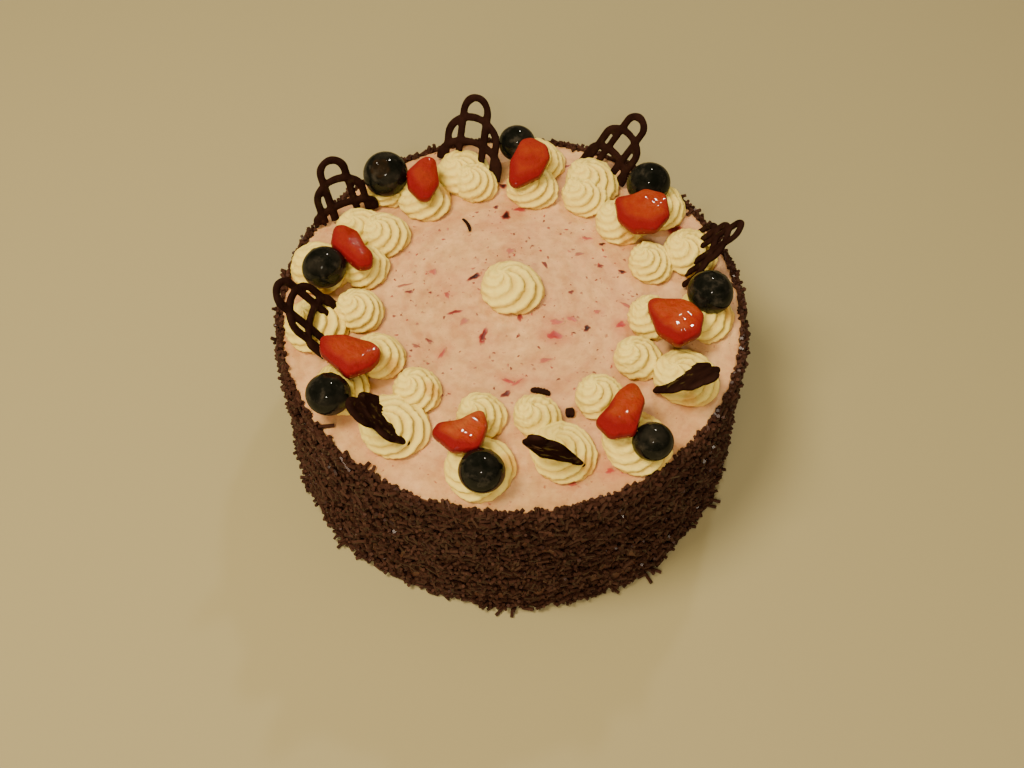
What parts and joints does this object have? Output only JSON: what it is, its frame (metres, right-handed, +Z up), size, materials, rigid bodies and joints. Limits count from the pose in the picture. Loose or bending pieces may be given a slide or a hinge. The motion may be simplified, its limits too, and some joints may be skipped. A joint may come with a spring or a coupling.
{
  "type": "berry cream cake",
  "caption": "Round cream cake with a pink top, chocolate sprinkles round the side, and a double ring of piped rosettes with berries and chocolate lattices.",
  "frame": {"origin": "middle of the flat underside, where the cake rests", "axes": "+Z up, -Y towards the side that faces the camera in the picture, +X to its right"},
  "size_m": [0.2096, 0.2149, 0.1171],
  "materials": {
    "sprinkle_coat": "pink berry cream on top, dark chocolate sprinkles all round the side",
    "white_cream": "soft piped cream",
    "chocolate": "glossy dark chocolate",
    "strawberry": "cut strawberry under clear glaze",
    "blueberry": "glazed blueberry"
  },
  "bodies": {
    "root": {"cake": "sprinkle_coat", "rosette_middle": "white_cream", "rosette_inner_a": "white_cream", "rosette_inner_b": "white_cream", "rosette_inner_c": "white_cream", "rosette_inner_d": "white_cream", "rosette_inner_e": "white_cream", "rosette_inner_f": "white_cream", "rosette_inner_g": "white_cream", "rosette_inner_h": "white_cream", "rosette_inner_i": "white_cream", "rosette_inner_j": "white_cream", "rosette_inner_k": "white_cream", "rosette_inner_l": "white_cream", "rosette_inner_m": "white_cream", "rosette_inner_n": "white_cream", "rosette_inner_o": "white_cream", "rosette_inner_p": "white_cream", "rosette_outer_a": "white_cream", "rosette_outer_b": "white_cream", "rosette_outer_c": "white_cream", "rosette_outer_d": "white_cream", "rosette_outer_e": "white_cream", "rosette_outer_f": "white_cream", "rosette_outer_g": "white_cream", "rosette_outer_h": "white_cream", "rosette_outer_i": "white_cream", "rosette_outer_j": "white_cream", "rosette_outer_k": "white_cream", "rosette_outer_l": "white_cream", "rosette_outer_m": "white_cream", "rosette_outer_n": "white_cream", "rosette_outer_o": "white_cream", "rosette_outer_p": "white_cream", "lattice_a": "chocolate", "lattice_c": "chocolate", "lattice_e": "chocolate", "lattice_g": "chocolate", "lattice_i": "chocolate", "lattice_k": "chocolate", "lattice_m": "chocolate", "lattice_o": "chocolate", "strawberry_b": "strawberry", "strawberry_d": "strawberry", "strawberry_f": "strawberry", "strawberry_h": "strawberry", "strawberry_j": "strawberry", "strawberry_l": "strawberry", "strawberry_n": "strawberry", "strawberry_p": "strawberry", "blueberry_b": "blueberry", "blueberry_d": "blueberry", "blueberry_f": "blueberry", "blueberry_h": "blueberry", "blueberry_j": "blueberry", "blueberry_l": "blueberry", "blueberry_n": "blueberry", "blueberry_p": "blueberry"}
  },
  "joints": []
}
